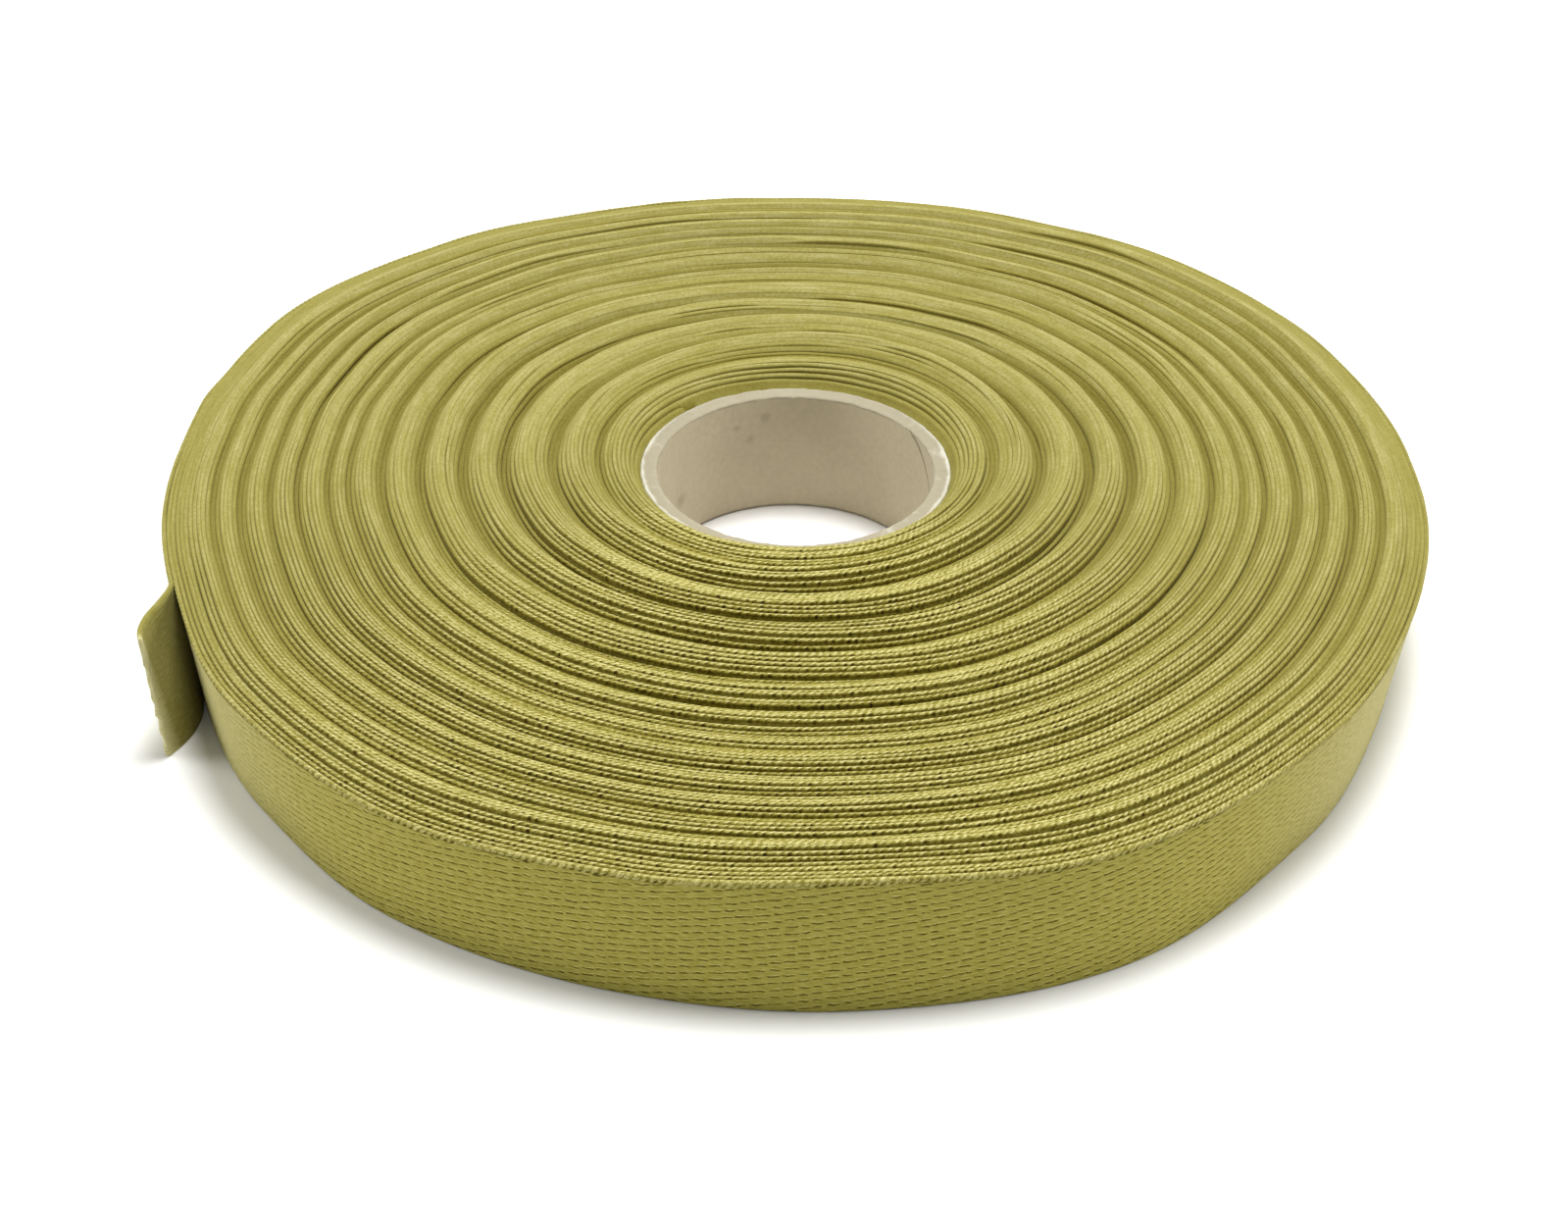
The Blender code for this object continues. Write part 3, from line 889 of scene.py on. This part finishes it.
# The outermost turn's upper selvedge, a cord and a skirt below it, with a real groove between its stitches:
# cut = grooveDepth * groove * weight + toothDepth * tooth, where the groove deepens towards the ends of each
# stitch and the tooth sits just below the cord.
selvedge = {
    "stepsPerStitch": 8,
    "radius": 0.40,
    "bulge": 0.09,
    "sunk": 0.02,
    "bendRows": 9,
    "hidden": 0.5,              # mm that the row inside the cord lies below it
    "hiddenPlace": -0.6,
    "skirt": 1.3,
    "skirtRows": np.array([0.30, 0.55, 0.80, 1.00, 1.15, 1.30, 1.50, 1.9]),
    "skirtLean": np.array([0.0, 0.03, 0.07, 0.10, 0.11, 0.11, 0.11, 0.11]),
    "skirtPitch": 1.6,
    "mostSlant": 1.1,
    "grooveDepth": 0.12,
    "grooveFrom": 0.45,         # distance from the middle of a stitch
    "grooveOver": 0.5,
    "grooveUntil": 0.55,        # place across, and how fast the groove fades from there
    "grooveFades": 1.6,
    "grooveFull": 1.15,
    "toothDepth": 0.16,
    "toothBelow": 0.42,
    "toothSize": 0.24,
    "toothFrom": 0.25,
    "toothOver": 0.6,
    "toothMean": 0.30,
    "toothWave": (0.90, 170, 42),
    "stitchWave": (0.25, 60, 41),
    "sideWave": (0.05, 130, 43),
    "heightWave": (0.07, 90, 44),
    "heightFades": 1.2,
    "skirtFrom": 0.2,
    "skirtOver": 0.4,
    "shade": {"groove": 0.25, "tooth": 0.75, "skirt": 0.12},
    "hiddenPaintedLight": 0.2,
}


def selvedgeCord():
    stitches = (lengthAt(roll["turns"]) - lengthAt(roll["turns"] - 1)) / cotton["stitchPitch"]
    turn = np.linspace(roll["turns"] - 1, roll["turns"], int(stitches * selvedge["stepsPerStitch"]))
    angle, radius, lift = tapeAt(turn)
    bend = np.radians(np.linspace(180, 0, selvedge["bendRows"]))
    size = selvedge["radius"]
    down = selvedge["skirtRows"] * (selvedge["skirt"] / selvedge["skirtRows"][-1])
    outward = np.concatenate([[-size], size * np.cos(bend), size - selvedge["skirtLean"]])[:, None]
    fall = np.concatenate([[size + selvedge["hidden"]], size - size * np.sin(bend), size + down])[:, None]
    onSkirt = 0.5 + down / selvedge["skirtPitch"]
    place = np.concatenate([[selvedge["hiddenPlace"]], np.cos(bend) * 0.5, onSkirt])[:, None]

    slanted = cotton["stitchSlant"] * np.clip(place, selvedge["hiddenPlace"], selvedge["mostSlant"])
    phase = lengthAt(turn) / cotton["stitchPitch"] + slanted
    phase = phase + waveAt(turn, selvedge["stitchWave"])
    fromMiddle = 2 * np.abs(phase - np.floor(phase) - 0.5)
    groove = np.clip((fromMiddle - selvedge["grooveFrom"]) / selvedge["grooveOver"], 0, 1) ** 2
    faded = np.clip(place - selvedge["grooveUntil"], 0, None) * selvedge["grooveFades"]
    weight = np.clip(selvedge["grooveFull"] - faded, 0, 1)
    fromTooth = (fall - size - selvedge["toothBelow"]) / selvedge["toothSize"]
    inStitch = np.clip((fromMiddle - selvedge["toothFrom"]) / selvedge["toothOver"], 0, 1)
    tooth = np.exp(-(fromTooth**2)) * inStitch
    spotted = np.clip(selvedge["toothMean"] + waveAt(turn, selvedge["toothWave"]), 0, 1)
    cut = selvedge["grooveDepth"] * groove * weight + selvedge["toothDepth"] * tooth * spotted

    heading = np.concatenate([[math.pi], bend, 0 * down])[:, None]
    middle = radius - selvedge["sunk"] + selvedge["bulge"] - size + 0.5 * roll["turnPitch"]
    middle = middle + waveAt(turn, selvedge["sideWave"])
    nominal = middle + outward - cut * np.cos(heading)
    uneven = waveAt(turn, selvedge["heightWave"]) * np.clip(1 - fall / selvedge["heightFades"], 0, 1)
    height = lift - fall - cut * np.sin(heading) + uneven
    share = np.clip(1 + height / roll["tapeWidth"], 0, 1)
    points = placed(radiusOnRoll(nominal, angle, share), angle, roll["tapeWidth"] + height)
    # Painted shade: darker in the grooves, darker still in the teeth, a little darker on the skirt below the
    # cord, and dark on the hidden row inside it.
    shade = selvedge["shade"]
    skirted = np.clip((fall - size - selvedge["skirtFrom"]) / selvedge["skirtOver"], 0, 1)
    paintedLight = 1 - shade["groove"] * groove * weight - shade["tooth"] * tooth * spotted - shade["skirt"] * skirted
    paintedLight = np.clip(paintedLight, 0, 1)
    paintedLight[0] = selvedge["hiddenPaintedLight"]
    uv = uvGrid(lengthAt(turn), np.clip(place, -0.5, 0.5))
    return gridMesh("selvedgeCord", cordMaterial, points, uv, {"paintedLight": paintedLight, "free": 1 + 0 * paintedLight}, flip=True)


# The outermost turn's face, from a little before it starts, where it is covered, to where it lets go. Its
# rows, as shares of the way down, stand closer at both selvedges.
wall = {
    "stepsPerTurn": 720,
    "hidden": 0.02,
    "underCord": 1.1,
    "rows": ((0, 0.07, 4), (0.1, 0.93, 16), (0.95, 1, 6)),
    "cordHeight": 1.3,
    "cordBulge": 0.12,
}


# Radius of the roll's outside at a turn, angle and height: the tape's outer face plus a swelling, half a
# sine high, along its lower selvedge.
def outsideRadius(turn, angle, share, heightBelowTop):
    low = roll["tapeWidth"] - heightBelowTop
    swelling = wall["cordBulge"] * np.sin(math.pi * np.clip(low / wall["cordHeight"], 0, 1))
    return radiusOnRoll(turnRadius(turn, 1.0), angle, share) + swelling


def outerFace():
    turn = np.linspace(roll["turns"] - 1 - wall["hidden"], roll["turns"], wall["stepsPerTurn"])
    angle, _, lift = tapeAt(turn)
    top = roll["tapeWidth"] + lift - wall["underCord"]
    down = np.concatenate([np.linspace(*rows) for rows in wall["rows"]])[:, None]
    height = top * (1 - down)
    reach = outsideRadius(turn, angle, height / roll["tapeWidth"], roll["tapeWidth"] - height)
    points = placed(reach, angle, height)
    return gridMesh("outerFace", faceMaterial, points, uvGrid(lengthAt(turn), height))


# The innermost turn's inner face, which closes the roll towards the tube, and the tape's end beside it.
innerSide = {"steps": 300, "rows": np.array([0.0, 0.1, 0.5, 1.0])}


def innerFace():
    turn = np.linspace(0, 1, innerSide["steps"])
    angle, radius, lift = tapeAt(turn)
    down = innerSide["rows"][:, None]
    edgeHeight = np.minimum(lift - bead["innerDrop"] - gapOutside(turn - 1), roll["tuck"])
    top = roll["tapeWidth"] + edgeHeight
    bottom = turnHeight(radius, angle) + under["gapDepth"]
    height = top + (bottom - top) * down
    nominal = radius - 0.5 * roll["turnPitch"] + 0 * height
    nominal[0] = roll["coreRadius"] - roll["innerLean"]
    points = placed(radiusOnRoll(nominal, angle, 1.0), angle, height)
    uv = uvGrid(lengthAt(turn), height)
    return gridMesh("innerFace", faceMaterial, points, uv, closeColumns=True, flip=True)


cordPiece = selvedgeCord()
outerPiece = outerFace()
innerPiece = innerFace()
print("faces of the roll made")

# The free end: angle, and how far its outer side stands out from the roll at its upper and lower edge.
looseRows = np.array([
    (-159.0, 0.0, 0.0),
    (-158.3, 0.15, 0.05),
    (-157.5, 0.9, 0.25),
    (-156.1, 2.9, 0.8),
    (-154.7, 5.2, 1.9),
    (-153.4, 6.7, 3.6),
    (-152.3, 7.4, 5.9),
    (-151.4, 7.6, 8.6),
], dtype=[("angle", float), ("upperOut", float), ("lowerOut", float)])
loose = {
    "thickness": 0.8,
    "steps": 60,
    "rowsUp": 26,
    "crown": 0.3,               # mm that the upper selvedge is rounded up
    "overFloor": 0.05,
    "fray": (0.35, 0.9, 21),    # knots a row
    "frayOver": 3,              # steps before the cut edge that it pulls along
    "paleOver": 2.6,            # mm before the cut edge where the cloth grows pale
}


# A smooth curve through the rows of a table, by Catmull and Rom's weights, at even steps.
def throughRows(values, steps):
    padded = np.concatenate([[2 * values[0] - values[1]], values, [2 * values[-1] - values[-2]]])
    at = np.linspace(0, len(values) - 1, steps)
    first = np.minimum(at.astype(int), len(values) - 2)
    t = at - first
    a, b, c, d = (padded[first + k] for k in range(4))
    return b + 0.5 * t * (c - a + t * (2 * a - 5 * b + 4 * c - d + t * (3 * (b - c) + d - a)))


# A closed section, outer side up and inner side down with rounded selvedges, carried along the free end.
# The inner side is the outer one moved in by the thickness at right angles to the path.
def looseEnd():
    angle = throughRows(looseRows["angle"], loose["steps"])
    upper = throughRows(looseRows["upperOut"], loose["steps"])
    lower = throughRows(looseRows["lowerOut"], loose["steps"])
    share = np.linspace(0, 1, loose["rowsUp"])[:, None]
    out = lower + (upper - lower) * share
    below = (1 - share) * roll["tapeWidth"] + 0 * out
    radius = outsideRadius(roll["turns"], angle, share, below) + out
    start = roll["tapeWidth"] + tapeAt(np.array([roll["turns"]]))[2][0]
    height = start * share + 0 * out
    outer = placed(radius, angle, height)

    step = np.gradient(outer[..., :2], axis=1)
    normal = np.stack([-step[..., 1], step[..., 0]], axis=-1)
    normal /= np.linalg.norm(normal, axis=-1, keepdims=True)
    inner = outer.copy()
    inner[..., :2] += normal * loose["thickness"] * mm
    crown = 0.5 * (outer[-1:] + inner[-1:])
    crown[..., 2] += loose["crown"] * mm
    foot = 0.5 * (outer[:1] + inner[:1])
    points = np.concatenate([outer, crown, inner[::-1], foot])
    points[..., 2] = np.maximum(points[..., 2], loose["overFloor"] * mm)

    # The cut edge frays a little: its last steps are drawn out or back along the tape, row by row.
    path = outer[loose["rowsUp"] // 2, :, :2]
    length = np.concatenate([[0], np.cumsum(np.linalg.norm(np.diff(path, axis=0), axis=-1))]) / mm
    ragged = waveAt(np.arange(points.shape[0]), loose["fray"])
    pull = np.clip(np.arange(loose["steps"]) - (loose["steps"] - loose["frayOver"]), 0, None)
    pull = pull / (loose["frayOver"] - 1)
    lastStep = outer[:, -1] - outer[:, -2]
    direction = lastStep / np.linalg.norm(lastStep, axis=-1, keepdims=True)
    direction = np.concatenate([direction, direction[-1:], direction[::-1], direction[:1]])
    points += direction[:, None, :] * (ragged[:, None] * pull[None, :])[..., None] * mm

    # Both ends close on the line halfway through the tape.
    middle = 0.5 * (points + np.concatenate([points[-2::-1], points[-1:]]))
    points = np.concatenate([middle[:, :1], points, middle[:, -1:]], axis=1)
    reached = np.concatenate([length[:1], length, length[-1:]])
    rows = np.concatenate([share[:, 0], [1.0], share[::-1, 0], [0.0]]) * roll["tapeWidth"]
    uv = uvGrid(lengthAt(roll["turns"]) + reached, rows[:, None])
    pale = np.clip(1 - (length[-1] - reached) / loose["paleOver"], 0, 1)
    values = {"cutEdge": pale + 0 * rows[:, None]}
    piece = gridMesh("looseEnd", shadedFaceMaterial, points, uv, values, closeRows=True, flip=True)
    joined = bmesh.new()
    joined.from_mesh(piece.data)
    bmesh.ops.remove_doubles(joined, verts=joined.verts, dist=1e-6)
    joined.to_mesh(piece.data)
    joined.free()
    return piece, float(length[-1])


loosePiece, looseLength = looseEnd()
print("loose end made, length in mm:", round(looseLength, 2))


# 0 up to a distance before an end, and from there to 1 over another distance.
def shareFrom(past, distances):
    before, over = distances
    return np.clip((past + before) / over, 0, 1)


# The tube: its section, from the outside over the top and down inside, turned round the axis. The end grain
# slopes a little inwards below a worn outer lip, and its edge is ragged by noise of the angle.
def coreTube():
    outer, inner, top = tube["outer"], tube["inner"], tube["length"]
    foot = [(inner + 0.1, 0.5), (inner + 0.35, 0.15), (inner + 0.8, 0.0)]
    foot += [(outer - 0.8, 0.0), (outer - 0.2, 0.15), (outer, 0.6)]
    section = np.array(
        [(outer - inward, top - below) for inward, below in tube["lipRows"]]
        + [(inner + outward, top - below) for outward, below in tube["boreRows"]]
        + [(inner, height) for height in np.linspace(top - tube["boreFrom"], tube["boreTo"], 10)]
        + foot
    )
    radius, height = section[:, :1], section[:, 1:]
    angle = np.arange(tube["steps"]) * 360.0 / tube["steps"]
    atTop = shareFrom(height - top, tube["raggedFrom"])
    wave = waveAt(angle, tube["waves"][0]) + waveAt(angle, tube["waves"][1])
    # The two ends of the noise are eased together, so that the ring closes.
    wave = wave * np.clip((360 - angle) / tube["wavesFade"], 0, 1) * np.clip(angle / tube["wavesFade"], 0, 1)
    reach = radius + tube["raggedRim"] * wave * atTop * np.sign(radius - 0.5 * (outer + inner))
    level = height + tube["raggedTop"] * np.roll(wave, 50) * atTop
    points = placed(reach, angle, level)
    ends = shareFrom(height - top, tube["endsFrom"]) + 0 * level
    lip = shareFrom(radius - outer, tube["lipFrom"]) + 0 * level
    values = {"ends": ends, "lip": lip}
    uv = uvGrid(angle, level)
    return gridMesh("coreTube", boardMaterial, points, uv, values, closeRows=True, closeColumns=True)


corePiece = coreTube()
print("tube made")

for piece in windings + [underPiece, cordPiece, outerPiece, innerPiece]:
    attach(piece, "root")
    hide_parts("wound_tape")
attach(loosePiece, "root")
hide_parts("loose_end")
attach(corePiece, "root")
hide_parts("core_tube")

# Floor, light and camera. The lamps' sizes and places are in metres.
stage = {
    "floorSize": 6.0,
    "floorDrop": 0.0001,
    "floorColor": (0.94, 0.94, 0.935, 1),
    "worldColor": (1.0, 1.0, 1.0, 1),
    "worldStrength": 0.25,
}


def layFloor():
    mesh = bpy.data.meshes.new("floor")
    half, low = stage["floorSize"], -stage["floorDrop"]
    corners = [(-half, -half, low), (half, -half, low), (half, half, low), (-half, half, low)]
    mesh.from_pydata(corners, [], [(0, 1, 2, 3)])
    floor = bpy.data.objects.new("floor", mesh)
    bpy.context.scene.collection.objects.link(floor)
    material, _, shader = startMaterial("paleFloor", 0.9)
    shader.inputs["Base Color"].default_value = stage["floorColor"]
    mesh.materials.append(material)


lamps = (
    # name, place, size, power: each lamp faces the roll
    ("overhead", (0.06, 0.16, 1.3), 0.5, 18),
    ("leftSide", (-1.1, 0.1, 0.5), 0.7, 6.5),
    ("rightSide", (1.1, 0.1, 0.5), 0.7, 6.5),
)


def hangLamps():
    for name, place, size, power in lamps:
        data = bpy.data.lights.new(name, "AREA")
        data.shape = "DISK"
        data.size = size
        data.energy = power
        lamp = bpy.data.objects.new(name, data)
        lamp.location = place
        lamp.rotation_euler = (Vector((0, 0, 0.02)) - Vector(place)).to_track_quat("-Z", "Y").to_euler()
        bpy.context.scene.collection.objects.link(lamp)


def lightWorld():
    world = bpy.data.worlds.new("paleRoom")
    world.use_nodes = True
    background = world.node_tree.nodes["Background"]
    background.inputs["Color"].default_value = stage["worldColor"]
    background.inputs["Strength"].default_value = stage["worldStrength"]
    bpy.context.scene.world = world


# The camera stands where the photograph's perspective puts it: pitch, yaw and roll in degrees, and the
# focal length in pixels of a 1599 pixel wide frame, worked out from the ellipses of the rims.
view = {
    "fromAxis": (4.93, -391.69, 271.16),
    "pitch": 35.53,
    "yaw": -0.974,
    "roll": 0.917,
    "focalPixels": 2519.0,
    "frameWidth": 1599,
}


def placeCamera():
    pitch, yaw, lean = (math.radians(view[key]) for key in ("pitch", "yaw", "roll"))
    forward = Vector((math.sin(yaw) * math.cos(pitch), math.cos(yaw) * math.cos(pitch), -math.sin(pitch)))
    right = Vector((math.cos(yaw), -math.sin(yaw), 0))
    up = right.cross(forward)
    rightRolled = right * math.cos(lean) + up * math.sin(lean)
    upRolled = up * math.cos(lean) - right * math.sin(lean)
    data = bpy.data.cameras.new("photoView")
    data.sensor_width = 36.0
    data.lens = data.sensor_width * view["focalPixels"] / view["frameWidth"]
    data.clip_start = 0.01
    data.clip_end = 50.0
    camera = bpy.data.objects.new("photoView", data)
    basis = Matrix((rightRolled, upRolled, -forward)).transposed().to_4x4()
    place = Vector((axisX, axisY, 0)) + Vector(view["fromAxis"]) * mm
    camera.matrix_world = Matrix.Translation(place) @ basis
    bpy.context.scene.collection.objects.link(camera)
    bpy.context.scene.camera = camera


layFloor()
hangLamps()
lightWorld()
placeCamera()
bpy.context.scene.view_settings.view_transform = "Standard"
print("floor, light and camera set")
